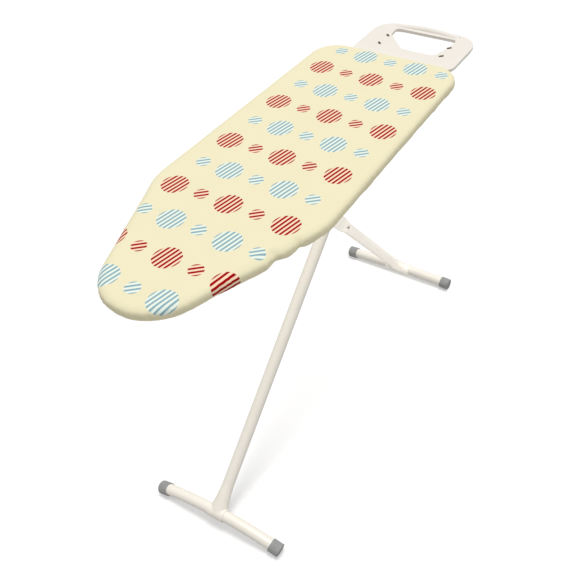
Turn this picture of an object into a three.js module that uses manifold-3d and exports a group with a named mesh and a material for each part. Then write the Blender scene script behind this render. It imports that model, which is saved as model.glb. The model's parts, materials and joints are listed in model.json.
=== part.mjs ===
// A folding ironing board: padded board on a steel frame, plastic iron rest at the tail,
// and two crossed tubular legs with arched T feet that fold flat under the board.
// Millimetres. The nose points along -X, the iron rest along +X, and +Z is up.
// The origin is on the floor, under the middle of the whole object.
import * as THREE from 'three';
import { mergeVertices } from 'three/addons/utils/BufferGeometryUtils.js';
import Module from 'manifold-3d';

const wasm = await Module();
wasm.setup();

// ---- Board outline, as rounded corners ----
const NOSE_X = -643;
const TAIL_X = 446;
const SHOULDER_X = -275;
const SHOULDER_HALF_WIDTH = 225;
const TAIL_HALF_WIDTH = 210;
const TAPER_ANGLE = THREE.MathUtils.degToRad(20.2);
const NOSE_HALF_WIDTH = SHOULDER_HALF_WIDTH - (SHOULDER_X - NOSE_X) * Math.tan(TAPER_ANGLE);
const NOSE_RADIUS = 122;
const SHOULDER_RADIUS = 180;
const TAIL_RADIUS = 76;

// ---- Heights of the board's layers ----
const TOP_Z = 852;
const COVER_SKIN = 2.2;
const COVER_HEM_Z = 825;
const PAD_TOP_Z = TOP_Z - COVER_SKIN - 0.4;
const PAD_BOTTOM_Z = 843.6;
const DECK_TOP_Z = 843.2;
const DECK_THICKNESS = 1.6;
const DECK_INSET = 6;
const RIM_RADIUS = 7;
const RIM_INSET = 12;
const RIM_JOINT_GAP = 1.2;
const RIM_Z = DECK_TOP_Z - DECK_THICKNESS - 0.4 - RIM_RADIUS;
const BRACE_TOP_Z = RIM_Z + RIM_RADIUS;
const BRACE_BOTTOM_Z = 828;
const BRACE_XS = { rear: 345, hinge: 271, rail: -66, front: -300 };
const BRACE_WIDTH = 24;

// ---- Legs: both fold about axes along Y, in planes side by side ----
const FOLD_Z = 797;
const LEG_OFFSET = 18;
const LONG_LEG = {
  y: -LEG_OFFSET, top: [308, FOLD_Z], foot: [-577, 44.2], barHalf: 192.6, barRise: 27, saddleHalf: 25,
};
const SHORT_LEG = {
  y: LEG_OFFSET, top: [-97, FOLD_Z], foot: [519, 22], barHalf: 190, barRise: 4.6, saddleHalf: 42,
};
const TUBE_RADIUS = 15.5;
const TUBE_WALL = 1.2;
const BLADE_HALF_HEIGHT = 20.9;
const BLADE_HALF_THICKNESS = 6;
const BLADE_END = 430;
const BLADE_BLEND = 45;
const BAR_CLEARANCE = 17;
const CAP_RADIUS = 18.4;
const CAP_LENGTH = 30;

// ---- Clearances and fasteners ----
const GAP = 0.3;
const PLATE_GAP = 0.4;
const BOLT_RADIUS = 4;
const BOLT_HOLE_RADIUS = 4.4;
const BOLT_HEAD_RADIUS = 7.5;

// ---- Leg hinge, height rail and its lock ----
const HINGE_BRACKET_X = [262, 354];
const HINGE_BRACKET_BOTTOM_Z = 782;
const SLIDE_PIN_RADIUS = 5;
const SLIDE_LIFT = 6;
const RAIL_X = [-312, -54];
const RAIL_Y = [7.5, 28.5];
const RAIL_Z = [784, 827.6];
const SHEET = 2;
const LOCK_ROD_Y = 44;
const LOCK_ROD_RADIUS = 4;
const LOCK_ROD_OVERHANG = 8;
const LOCK_BRACKET_BOTTOM_Z = 787;
const LEVER_AXIS = [36, 812];
const LEVER_END_Y = 170;

// ---- Iron rest ----
const REST_CENTRE_Y = -20;
const REST_END_X = 643;
const REST_HALF_WIDTH = 151;
const REST_CORNER_RADIUS = 62;
const REST_Z = [829.5, 839];
const REST_ARM_Y = 105;
const REST_ARM_Z = 818;
const REST_ARM_RADIUS = 5;

// ---- Finishes ----
const COLOURS = {
  cream: ['#f1e9d9', 0.4, 0.1],
  cloth: ['#f4eecd', 0.95, 0],
  felt: ['#d9d4c6', 1, 0],
  plastic: ['#f3ece2', 0.5, 0],
  rubber: ['#8f908e', 0.8, 0],
  heatPad: ['#5b5340', 0.8, 0],
  steel: ['#b9bcc0', 0.35, 0.9],
  grey: ['#8f9296', 0.6, 0],
};

const part = new THREE.Group();

function finish(name) {
  const [color, roughness, metalness] = COLOURS[name];
  return new THREE.MeshStandardMaterial({ color, roughness, metalness });
}

function add(name, shape, colour) {
  const geometry = shape instanceof wasm.Manifold ? geometryOf(shape) : shape;
  const mesh = new THREE.Mesh(geometry, finish(colour));
  mesh.name = name;
  part.add(mesh);
  return mesh;
}

// ---- Solids ----
function solidOf(shape) {
  if (shape instanceof wasm.Manifold) {
    return shape;
  }
  const bare = shape.clone();
  bare.deleteAttribute('normal');
  bare.deleteAttribute('uv');
  const merged = mergeVertices(bare, 1e-4);
  return new wasm.Manifold(new wasm.Mesh({
    numProp: 3,
    vertProperties: new Float32Array(merged.attributes.position.array),
    triVerts: new Uint32Array(merged.index.array),
  }));
}

function geometryOf(solid) {
  const mesh = solid.getMesh();
  const points = new Float32Array(mesh.vertProperties);
  const geometry = new THREE.BufferGeometry();
  geometry.setAttribute('position', new THREE.BufferAttribute(points, 3));
  geometry.setIndex(new THREE.BufferAttribute(new Uint32Array(mesh.triVerts), 1));
  return geometry;
}

function cut(shape, ...tools) {
  return tools.reduce((solid, tool) => solid.subtract(solidOf(tool)), solidOf(shape));
}

function join(shape, ...others) {
  return others.reduce((solid, other) => solid.add(solidOf(other)), solidOf(shape));
}

function box(xs, ys, zs) {
  const geometry = new THREE.BoxGeometry(xs[1] - xs[0], ys[1] - ys[0], zs[1] - zs[0]);
  return geometry.translate((xs[0] + xs[1]) / 2, (ys[0] + ys[1]) / 2, (zs[0] + zs[1]) / 2);
}

// Turns a geometry built along local +Y so that it runs from one point to another.
function lay(geometry, from, to) {
  const start = new THREE.Vector3(...from);
  const direction = new THREE.Vector3(...to).sub(start).normalize();
  const turn = new THREE.Quaternion().setFromUnitVectors(new THREE.Vector3(0, 1, 0), direction);
  geometry.applyQuaternion(turn);
  return geometry.translate(...start.toArray());
}

function distance(from, to) {
  return new THREE.Vector3(...from).distanceTo(new THREE.Vector3(...to));
}

function rod(from, to, radius, sides = 16) {
  const length = distance(from, to);
  const geometry = new THREE.CylinderGeometry(radius, radius, length, sides);
  return lay(geometry.translate(0, length / 2, 0), from, to);
}

function pipe(from, to, outer, inner, sides = 16) {
  const length = distance(from, to);
  const profile = [[inner, 0], [outer, 0], [outer, length], [inner, length], [inner, 0]];
  const points = profile.map(([r, y]) => new THREE.Vector2(r, y));
  return lay(new THREE.LatheGeometry(points, sides), from, to);
}

function circle(radius, sides) {
  const shape = new THREE.Shape();
  for (let i = 0; i < sides; i += 1) {
    const angle = (i / sides) * 2 * Math.PI;
    shape[i ? 'lineTo' : 'moveTo'](radius * Math.cos(angle), radius * Math.sin(angle));
  }
  return shape;
}

function sweep(points, radius, { inner = 0, sides = 14, steps = 24 } = {}) {
  const knots = points.map((point) => new THREE.Vector3(...point));
  const path = new THREE.CatmullRomCurve3(knots, false, 'centripetal');
  const section = circle(radius, sides);
  if (inner) {
    section.holes.push(circle(inner, sides));
  }
  return new THREE.ExtrudeGeometry(section, { steps, extrudePath: path, bevelEnabled: false });
}

// A flat profile pushed along one world axis: 'x' takes (y, z) points and 'y' takes (x, z) points.
function extrude(profile, axis, from, to, holes = []) {
  const shape = new THREE.Shape(profile.map(([a, b]) => new THREE.Vector2(a, b)));
  for (const hole of holes) {
    shape.holes.push(new THREE.Path(hole.map(([a, b]) => new THREE.Vector2(a, b))));
  }
  const geometry = new THREE.ExtrudeGeometry(shape, { depth: to - from, bevelEnabled: false });
  const [X, Y, Z] = [[1, 0, 0], [0, 1, 0], [0, 0, 1]].map((v) => new THREE.Vector3(...v));
  const bases = { x: [Y, Z, X], y: [X, Z, Y.clone().negate()], z: [X, Y, Z] };
  geometry.applyMatrix4(new THREE.Matrix4().makeBasis(...bases[axis]));
  const start = { x: [from, 0, 0], y: [0, to, 0], z: [0, 0, from] };
  return geometry.translate(...start[axis]);
}

// Joins rings of points into one closed surface. Open stacks get a cap at both ends.
function loft(rings, closed = false) {
  const count = rings[0].length;
  const positions = rings.flat(2);
  const faces = [];
  const last = closed ? rings.length : rings.length - 1;
  for (let k = 0; k < last; k += 1) {
    const a = k * count;
    const b = ((k + 1) % rings.length) * count;
    for (let i = 0; i < count; i += 1) {
      const j = (i + 1) % count;
      faces.push(a + i, b + i, b + j, a + i, b + j, a + j);
    }
  }
  if (!closed) {
    const end = (rings.length - 1) * count;
    for (let i = 1; i < count - 1; i += 1) {
      faces.push(0, i, i + 1, end, end + i + 1, end + i);
    }
  }
  const geometry = new THREE.BufferGeometry();
  geometry.setAttribute('position', new THREE.Float32BufferAttribute(positions, 3));
  geometry.setIndex(faces);
  return geometry;
}

// ---- Board outline ----
const CORNERS = [
  [TAIL_X, -TAIL_HALF_WIDTH, TAIL_RADIUS, 7],
  [TAIL_X, TAIL_HALF_WIDTH, TAIL_RADIUS, 7],
  [SHOULDER_X, SHOULDER_HALF_WIDTH, SHOULDER_RADIUS, 4],
  [NOSE_X, NOSE_HALF_WIDTH, NOSE_RADIUS, 7],
  [NOSE_X, -NOSE_HALF_WIDTH, NOSE_RADIUS, 7],
  [SHOULDER_X, -SHOULDER_HALF_WIDTH, SHOULDER_RADIUS, 4],
];

// Each corner as points, counter-clockwise. A larger inset moves them inwards along the radius.
function roundedCorners(corners, inset) {
  return corners.map(([x, y, radius, steps], i) => {
    const corner = new THREE.Vector2(x, y);
    const [before, after] = [-1, 1].map((step) => {
      const [nx, ny] = corners[(i + step + corners.length) % corners.length];
      return new THREE.Vector2(nx, ny).sub(corner).normalize();
    });
    const half = Math.acos(before.dot(after)) / 2;
    const middle = before.clone().add(after).normalize();
    const centre = corner.clone().addScaledVector(middle, radius / Math.sin(half));
    const start = Math.atan2(before.x, -before.y);
    const turn = Math.PI - 2 * half;
    return Array.from({ length: steps + 1 }, (_, k) => {
      const angle = start + (turn * k) / steps;
      const reach = radius - inset;
      return [centre.x + reach * Math.cos(angle), centre.y + reach * Math.sin(angle)];
    });
  });
}

function outline(inset) {
  return roundedCorners(CORNERS, inset).flat();
}

// A solid that follows the outline: each level is [inset, z], from the upper face round to the lower one.
function outlineSolid(levels) {
  return loft(levels.map(([inset, z]) => outline(inset).map(([x, y]) => [x, y, z])));
}

function halfWidthAt(x, inset) {
  const points = outline(inset);
  return Math.max(...points.map(([x1, y1], i) => {
    const [x2, y2] = points[(i + 1) % points.length];
    const crosses = (x1 - x) * (x2 - x) <= 0 && x1 !== x2;
    return crosses ? y1 + ((y2 - y1) * (x - x1)) / (x2 - x1) : 0;
  }));
}

// ---- Board ----
function addBoard() {
  const coverInner = TOP_Z - COVER_SKIN;
  add('cover', outlineSolid([
    [14, TOP_Z], [5, TOP_Z - 2.2], [1, TOP_Z - 7], [0, TOP_Z - 12],
    [0, COVER_HEM_Z + 4], [2, COVER_HEM_Z], [26, COVER_HEM_Z],
    [26, COVER_HEM_Z + 1.5], [4, COVER_HEM_Z + 1.5], [2.4, COVER_HEM_Z + 4.5],
    [2.4, TOP_Z - 12], [4.8, TOP_Z - 6], [10, coverInner],
  ]), 'cloth');
  add('felt_pad', outlineSolid([
    [11, PAD_TOP_Z], [6, PAD_TOP_Z - 3.4], [5.5, PAD_BOTTOM_Z],
  ]), 'felt');
  addDeck();
  addRim();
  for (const [name, x] of Object.entries(BRACE_XS)) {
    addBrace(`brace_${name}`, x);
  }
}

function addDeck() {
  const pitchX = 93;
  const pitchY = 82;
  const holeRadius = 16;
  const holes = [];
  for (let column = -6; column <= 4; column += 1) {
    const x = column * pitchX;
    const reach = halfWidthAt(x, 40);
    for (let row = -2; row <= 2; row += 1) {
      const y = (row + (column % 2 ? 0.5 : 0)) * pitchY;
      if (Math.abs(y) + holeRadius < reach) {
        holes.push(Array.from({ length: 6 }, (_, k) => [
          x + holeRadius * Math.cos((k * Math.PI) / 3),
          y + holeRadius * Math.sin((k * Math.PI) / 3),
        ]));
      }
    }
  }
  const bottom = DECK_TOP_Z - DECK_THICKNESS;
  add('deck_plate', extrude(outline(DECK_INSET), 'z', bottom, DECK_TOP_Z, holes), 'cream');
}

function addRim() {
  const [tailRight, tailLeft, shoulderLeft, noseLeft, noseRight, shoulderRight] =
    roundedCorners(CORNERS, RIM_INSET);
  const bow = (a, b) => [...a, ...b];
  const middle = (a, b) => [(a[0] + b[0]) / 2, (a[1] + b[1]) / 2];
  const toward = (a, b, gap) => {
    const length = Math.hypot(b[0] - a[0], b[1] - a[1]);
    return [a[0] + ((b[0] - a[0]) * gap) / length, a[1] + ((b[1] - a[1]) * gap) / length];
  };
  const side = (from, shoulder, to) => [
    toward(from, shoulder[0], RIM_JOINT_GAP), middle(from, shoulder[0]), ...shoulder,
    middle(shoulder.at(-1), to), toward(to, shoulder.at(-1), RIM_JOINT_GAP),
  ];
  const tubes = {
    rim_tail: [bow(tailRight, tailLeft), 22],
    rim_left: [side(tailLeft.at(-1), shoulderLeft, noseLeft[0]), 14],
    rim_nose: [bow(noseLeft, noseRight), 16],
    rim_right: [side(noseRight.at(-1), shoulderRight, tailRight[0]), 14],
  };
  for (const [name, [points, steps]] of Object.entries(tubes)) {
    const path = points.map(([x, y]) => [x, y, RIM_Z]);
    add(name, sweep(path, RIM_RADIUS, { inner: RIM_RADIUS - TUBE_WALL, sides: 8, steps }), 'cream');
  }
}

// A shallow channel across the board, open upwards, between the two sides of the rim.
function addBrace(name, x) {
  const [left, right] = [x - BRACE_WIDTH / 2, x + BRACE_WIDTH / 2];
  const [low, high] = [BRACE_BOTTOM_Z, BRACE_TOP_Z - GAP];
  const wall = 1.6;
  const reach = Math.min(halfWidthAt(left, 0), halfWidthAt(right, 0)) - RIM_INSET - RIM_RADIUS - 3;
  add(name, extrude([
    [left, low], [right, low], [right, high], [right - wall, high],
    [right - wall, low + wall], [left + wall, low + wall], [left + wall, high], [left, high],
  ], 'y', -reach, reach), 'cream');
}

// ---- Leg hinge under the tail, and the height rail ----
function channel(ys, zs, xs) {
  return extrude([
    [ys[0], zs[0]], [ys[0] + SHEET, zs[0]], [ys[0] + SHEET, zs[1] - SHEET],
    [ys[1] - SHEET, zs[1] - SHEET], [ys[1] - SHEET, zs[0]], [ys[1], zs[0]], [ys[1], zs[1]], [ys[0], zs[1]],
  ], 'x', xs[0], xs[1]);
}

function addHinge() {
  const [x, z] = LONG_LEG.top;
  const reach = TUBE_RADIUS + 1 + SHEET;
  const ys = [LONG_LEG.y - reach, LONG_LEG.y + reach];
  const bracket = channel(ys, [HINGE_BRACKET_BOTTOM_Z, BRACE_BOTTOM_Z - PLATE_GAP], HINGE_BRACKET_X);
  add('hinge_bracket', cut(bracket, rod([x, ys[0] - 5, z], [x, ys[1] + 5, z], BOLT_HOLE_RADIUS)), 'cream');
  // The head next to the short leg is thin, because that leg folds past it.
  const [thick, thin] = [4, 1.5];
  const pin = join(
    rod([x, ys[0] - thick, z], [x, ys[1] + thin, z], BOLT_RADIUS),
    rod([x, ys[0] - thick, z], [x, ys[0] - PLATE_GAP, z], BOLT_HEAD_RADIUS),
    rod([x, ys[1] + PLATE_GAP, z], [x, ys[1] + thin, z], BOLT_HEAD_RADIUS),
  );
  add('hinge_pin', pin, 'steel');
}

// How far the short leg's top runs along the rail, from standing to folded flat.
function slideTravel() {
  const pivot = crossing();
  const arm = (leg) => Math.hypot(leg.top[0] - pivot[0], leg.top[1] - pivot[1]);
  return SHORT_LEG.top[0] - (LONG_LEG.top[0] - arm(LONG_LEG) - arm(SHORT_LEG));
}

function addRail() {
  const [pinX, pinZ] = SHORT_LEG.top;
  const clearance = SLIDE_PIN_RADIUS + 0.6;
  const slot = box(
    [pinX - slideTravel() - clearance, pinX + clearance],
    [RAIL_Y[0] - 2, RAIL_Y[1] + 2],
    [pinZ - clearance, pinZ + clearance + SLIDE_LIFT],
  );
  add('height_rail', cut(channel(RAIL_Y, RAIL_Z, RAIL_X), slot), 'cream');
  const brackets = { front: BRACE_XS.front, rear: BRACE_XS.rail };
  const start = [brackets.front - LOCK_ROD_OVERHANG, LOCK_ROD_Y, FOLD_Z];
  const end = [brackets.rear + LOCK_ROD_OVERHANG, LOCK_ROD_Y, FOLD_Z];
  add('lock_rod', rod(start, end, LOCK_ROD_RADIUS), 'steel');
  const heights = [LOCK_BRACKET_BOTTOM_Z, BRACE_BOTTOM_Z - PLATE_GAP];
  for (const [name, x] of Object.entries(brackets)) {
    const plate = box([x - SHEET, x + SHEET], [LOCK_ROD_Y - 9, LOCK_ROD_Y + 9], heights);
    add(`lock_rod_bracket_${name}`, cut(plate, rod(start, end, LOCK_ROD_RADIUS + GAP)), 'cream');
  }
}

// ---- Slide: the pin that carries the short leg's top along the rail, and its lock ----
function addSlide() {
  const [x, z] = SHORT_LEG.top;
  const at = (y) => [x, y, z];
  const pinEnd = 37.5;
  add('slide_pin', rod(at(3.6), at(pinEnd), SLIDE_PIN_RADIUS), 'steel');
  add('slide_shoe_inner', pipe(at(4), at(RAIL_Y[0] - 0.4), 10, SLIDE_PIN_RADIUS + GAP), 'grey');
  add('slide_shoe_outer', pipe(at(RAIL_Y[1] + 0.4), at(31.2), 10, SLIDE_PIN_RADIUS + GAP), 'grey');

  const half = 14;
  const body = extrude([
    [31.6, 784], [54, 784], [54, 805.6], [49.5, 805.6], [49.5, 787],
    [38.6, 787], [38.6, 805.6], [31.6, 805.6],
  ], 'x', x - half, x + half);
  const earShape = [[31.6, 805], [41, 805], [41, 813], [38.5, 817], [34, 817], [31.6, 814]];
  const ears = [[x - half, x - half + 3], [x + half - 3, x + half]];
  const housing = join(body, ...ears.map(([a, b]) => extrude(earShape, 'x', a, b)));
  const [axisY, axisZ] = LEVER_AXIS;
  const axisFrom = [x - half - 1.5, axisY, axisZ];
  const axisTo = [x + half + 1.5, axisY, axisZ];
  const pinHole = rod(at(25), at(pinEnd + GAP), SLIDE_PIN_RADIUS + GAP);
  add('lock_housing', cut(housing, pinHole, rod(axisFrom, axisTo, 2.7, 12)), 'grey');
  add('lever_pin', rod(axisFrom, axisTo, 2.3, 12), 'steel');

  const steps = 4 * 10;
  const coil = Array.from({ length: steps + 1 }, (_, k) => {
    const angle = (k / 10) * 2 * Math.PI;
    return [x + 4.4 + (k * 5.2) / steps, axisY + 3.8 * Math.cos(angle), axisZ + 3.8 * Math.sin(angle)];
  });
  add('lever_spring', sweep(coil, 0.55, { sides: 5, steps }), 'steel');
}

function addLever() {
  const x = SHORT_LEG.top[0];
  const [axisY, axisZ] = LEVER_AXIS;
  const [armLow, armHigh] = [806.6, 811];
  const xs = [x - 9, x + 3];
  const arm = extrude([
    [41.6, armLow], [41.6, 801.5], [47, 801.5], [47, armLow],
    [LEVER_END_Y, armLow], [LEVER_END_Y, armHigh],
    [50, armHigh], [40, 817], [33, 817], [32, 814], [32, armLow],
  ], 'x', ...xs);
  const bore = rod([xs[0] - 1, axisY, axisZ], [xs[1] + 1, axisY, axisZ], 2.7, 12);
  add('release_lever', cut(arm, bore), 'cream');
  const wall = 3;
  const gripLength = 38;
  const around = (ys, grow) => box([xs[0] - grow, xs[1] + grow], ys, [armLow - grow, armHigh + grow]);
  const grip = around([LEVER_END_Y - gripLength, LEVER_END_Y + wall], wall);
  const pocket = around([LEVER_END_Y - gripLength - 2, LEVER_END_Y + GAP], GAP);
  add('lever_grip', cut(grip, pocket), 'grey');
}

// ---- Legs ----
// The pivot where the legs cross.
function crossing() {
  const [a, b] = [LONG_LEG, SHORT_LEG];
  const slope = (leg) => (leg.top[0] - leg.foot[0]) / (leg.top[1] - leg.foot[1]);
  const z = FOLD_Z - (a.top[0] - b.top[0]) / (slope(a) - slope(b));
  return [a.top[0] - slope(a) * (FOLD_Z - z), z];
}

function pointOn(leg, fromTop) {
  const [dx, dz] = [leg.foot[0] - leg.top[0], leg.foot[1] - leg.top[1]];
  const length = Math.hypot(dx, dz);
  return [leg.top[0] + (dx * fromTop) / length, leg.y, leg.top[1] + (dz * fromTop) / length];
}

function legLength(leg) {
  return Math.hypot(leg.top[0] - leg.foot[0], leg.top[1] - leg.foot[1]);
}

function barPath(leg, half = leg.barHalf) {
  const [x, z] = leg.foot;
  return Array.from({ length: 17 }, (_, k) => {
    const share = ((k - 8) / 8) * (half / leg.barHalf);
    return [x, leg.y + share * leg.barHalf, z - leg.barRise * share * share];
  });
}

// The pressed saddle: it flares out of the leg and wraps over the top of the foot bar.
function saddle(leg) {
  const reach = 74;
  const length = legLength(leg);
  const axis = new THREE.Vector3(...pointOn(leg, length - 1)).sub(new THREE.Vector3(...pointOn(leg, length)));
  const side = new THREE.Vector3(0, 1, 0);
  const depth = new THREE.Vector3().crossVectors(axis, side);
  const foot = new THREE.Vector3(...pointOn(leg, length));
  const steps = 7;
  const rings = Array.from({ length: steps + 1 }, (_, k) => {
    const height = reach - ((reach + 4) * k) / steps;
    const flare = Math.min(1, Math.max(0, 1 - (height - 8) / (reach - 20)) ** 1.8);
    const neck = TUBE_RADIUS + 2;
    const [wide, thick] = [neck + (leg.saddleHalf - neck) * flare, neck + 1.2 * flare];
    return Array.from({ length: 16 }, (_, i) => {
      const angle = (i / 16) * 2 * Math.PI;
      return foot.clone().addScaledVector(axis, height)
        .addScaledVector(side, wide * Math.cos(angle))
        .addScaledVector(depth, thick * Math.sin(angle)).toArray();
    });
  });
  const wrap = sweep(barPath(leg, leg.saddleHalf), TUBE_RADIUS + 3, { sides: 16, steps: 4 });
  const below = box([-60, 60], [-40, 40], [-30, 30]);
  below.applyMatrix4(new THREE.Matrix4().makeBasis(side, depth, axis));
  below.translate(...foot.clone().addScaledVector(axis, -30 - 11).toArray());
  return cut(
    join(loft(rings), wrap), below,
    sweep(barPath(leg, 60), TUBE_RADIUS + GAP, { sides: 16, steps: 8 }),
    rod(pointOn(leg, length), pointOn(leg, length - reach - 10), TUBE_RADIUS + GAP, 16),
  );
}

function addFoot(prefix, leg) {
  add(`${prefix}_saddle`, saddle(leg), 'cream');
  const inner = TUBE_RADIUS - TUBE_WALL;
  add(`${prefix}_foot_bar`, sweep(barPath(leg), TUBE_RADIUS, { inner, sides: 16, steps: 12 }), 'cream');
  const path = barPath(leg);
  for (const [side, end, before] of [['right', path[0], path[1]], ['left', path.at(-1), path.at(-2)]]) {
    const outward = new THREE.Vector3(...end).sub(new THREE.Vector3(...before)).normalize();
    const along = (t) => new THREE.Vector3(...end).addScaledVector(outward, t).toArray();
    const cup = cut(
      rod(along(3 - CAP_LENGTH), along(3), CAP_RADIUS, 24),
      sweep(path, TUBE_RADIUS + GAP, { sides: 16, steps: 12 }),
      box([end[0] - 40, end[0] + 40], [end[1] - 60, end[1] + 60], [-40, 0]),
    );
    add(`${prefix}_cap_${side}`, cup, 'rubber');
  }
}

function addLongLeg() {
  const [x, z] = crossing();
  const inner = TUBE_RADIUS - TUBE_WALL;
  const bottom = legLength(LONG_LEG) - BAR_CLEARANCE;
  const tube = pipe(pointOn(LONG_LEG, -22), pointOn(LONG_LEG, bottom), TUBE_RADIUS, inner);
  const across = (at) => rod([at[0], -60, at[1]], [at[0], 0, at[1]], BOLT_HOLE_RADIUS);
  add('long_leg_tube', cut(tube, across(LONG_LEG.top), across([x, z])), 'cream');
  const plug = join(
    rod(pointOn(LONG_LEG, -24.5), pointOn(LONG_LEG, -22.3), TUBE_RADIUS),
    rod(pointOn(LONG_LEG, -22.4), pointOn(LONG_LEG, -10), inner - GAP),
  );
  add('long_leg_plug', plug, 'grey');
  const at = (y) => [x, y, z];
  const [bladeNear, bladeFar] = [LEG_OFFSET - BLADE_HALF_THICKNESS, LEG_OFFSET + BLADE_HALF_THICKNESS];
  const bolt = join(rod(at(-38.5), at(31), BOLT_RADIUS), rod(at(-38.5), at(-33.8), BOLT_HEAD_RADIUS, 6));
  add('pivot_bolt', bolt, 'steel');
  add('pivot_spacer', pipe(at(-2.2), at(bladeNear - GAP), 9, BOLT_HOLE_RADIUS), 'grey');
  const nut = rod(at(bladeFar + PLATE_GAP), at(30), BOLT_HEAD_RADIUS, 6);
  add('pivot_nut', cut(nut, rod(at(0), at(35), BOLT_HOLE_RADIUS)), 'steel');
  addFoot('long_leg', LONG_LEG);
}

// The short leg is a round tube pressed flat from below the pivot up to its top. The top end
// narrows, so that it clears the rail's roof while it swings.
function addShortLeg() {
  const length = legLength(SHORT_LEG);
  const along = new THREE.Vector3(...pointOn(SHORT_LEG, 1)).sub(new THREE.Vector3(...pointOn(SHORT_LEG, 0)));
  const across = new THREE.Vector3(0, 1, 0);
  const height = new THREE.Vector3().crossVectors(along, across);
  const topEnd = -18;
  const topFull = -8;
  const topHalfHeight = 10;
  const stops = [topEnd, topFull, 200, BLADE_END];
  for (let k = 1; k <= 5; k += 1) {
    stops.push(BLADE_END + (BLADE_BLEND * k) / 5);
  }
  stops.push(length - BAR_CLEARANCE);
  const ring = (t, wall) => {
    const round = THREE.MathUtils.smoothstep(t, BLADE_END, BLADE_END + BLADE_BLEND);
    const thick = THREE.MathUtils.lerp(BLADE_HALF_THICKNESS, TUBE_RADIUS, round) - wall;
    const blade = t === topEnd ? topHalfHeight : BLADE_HALF_HEIGHT;
    const high = THREE.MathUtils.lerp(blade, TUBE_RADIUS, round) - wall;
    const centre = new THREE.Vector3(...pointOn(SHORT_LEG, t));
    return Array.from({ length: 16 }, (_, i) => {
      const angle = (i / 16) * 2 * Math.PI;
      const power = THREE.MathUtils.lerp(0.45, 1, round);
      const [c, s] = [Math.cos(angle), Math.sin(angle)];
      return centre.clone()
        .addScaledVector(across, thick * Math.sign(s) * Math.abs(s) ** power)
        .addScaledVector(height, high * Math.sign(c) * Math.abs(c) ** power).toArray();
    });
  };
  const rings = [...stops.map((t) => ring(t, 0)), ...stops.toReversed().map((t) => ring(t, TUBE_WALL))];
  const hole = (at, radius) => rod([at[0], 0, at[1]], [at[0], 40, at[1]], radius);
  const [rivetX, , rivetZ] = pointOn(SHORT_LEG, BLADE_END + 21);
  const tube = cut(
    loft(rings, true), hole(SHORT_LEG.top, SLIDE_PIN_RADIUS + GAP),
    hole(crossing(), BOLT_HOLE_RADIUS), hole([rivetX, rivetZ], 2.8),
  );
  add('short_leg_tube', tube, 'cream');
  const rivet = join(
    rod([rivetX, 3.5, rivetZ], [rivetX, 32.5, rivetZ], 2.4, 12),
    rod([rivetX, 2.4, rivetZ], [rivetX, 4.4, rivetZ], 4.6, 12),
    rod([rivetX, 31.6, rivetZ], [rivetX, 33.6, rivetZ], 4.6, 12),
  );
  add('short_leg_rivet', rivet, 'steel');
  addFoot('short_leg', SHORT_LEG);
}

// ---- Iron rest ----
const REST_OPENING = [
  [609, -93, 9, 3], [609, 92, 9, 3], [570, 88, 12, 3],
  [504, 24, 14, 3], [503, -74, 14, 3], [568, -92, 20, 3],
];
const REST_PADS = [[559, 94], [509, 94], [559, -94], [509, -94]];
const REST_SCREW_XS = [502, 542];

// A small oblong with round ends, lying at 45 degrees towards the middle of the rest.
function oblong(x, y, grow, zs) {
  const [halfLength, radius] = [4.2, 2.8 + grow];
  const tilt = (Math.PI / 4) * Math.sign(y);
  const points = Array.from({ length: 12 }, (_, i) => {
    const angle = -Math.PI / 2 + ((i < 6 ? i : i - 1) / 5) * Math.PI;
    const end = i < 6 ? halfLength : -halfLength;
    const [px, py] = [end + radius * Math.cos(angle), radius * Math.sin(angle)];
    return [x + px * Math.cos(tilt) - py * Math.sin(tilt), y + px * Math.sin(tilt) + py * Math.cos(tilt)];
  });
  return extrude(points, 'z', ...zs);
}

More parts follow.
